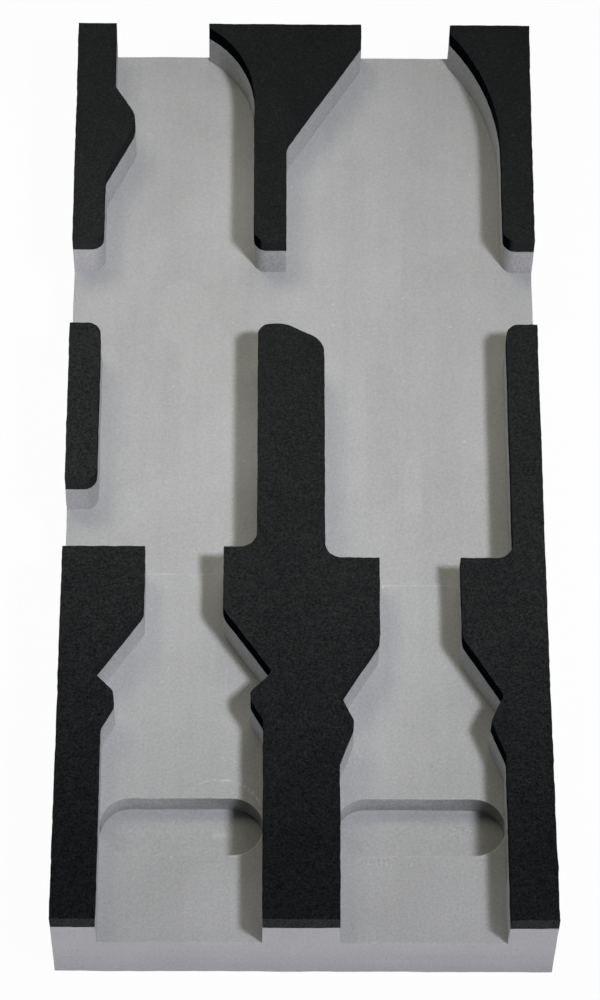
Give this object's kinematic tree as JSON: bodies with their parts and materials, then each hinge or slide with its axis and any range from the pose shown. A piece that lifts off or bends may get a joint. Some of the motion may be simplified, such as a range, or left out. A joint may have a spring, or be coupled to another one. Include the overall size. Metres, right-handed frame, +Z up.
{
  "type": "foam tool drawer insert",
  "caption": "Grey foam insert for a tool drawer with a black foam skin, tool pockets routed from above and finger troughs to lift the tools by.",
  "frame": {"origin": "centre of the underside, on the surface that the insert lies on", "axes": "+X across the insert to the right, +Y towards the rear of the drawer, +Z up"},
  "size_m": [0.188, 0.404, 0.05],
  "materials": {
    "grey_foam": "closed-cell foam, matt with a fine cut grain",
    "black_foam": "closed-cell foam skin, matt with a fine grain"
  },
  "bodies": {
    "root": {"base_block": "grey_foam", "skin_rear_left": "black_foam", "skin_rear_centre": "black_foam", "skin_rear_right": "black_foam", "skin_mid_left": "black_foam", "skin_front_left": "black_foam", "skin_front_centre": "black_foam", "skin_front_right": "black_foam"}
  },
  "joints": []
}
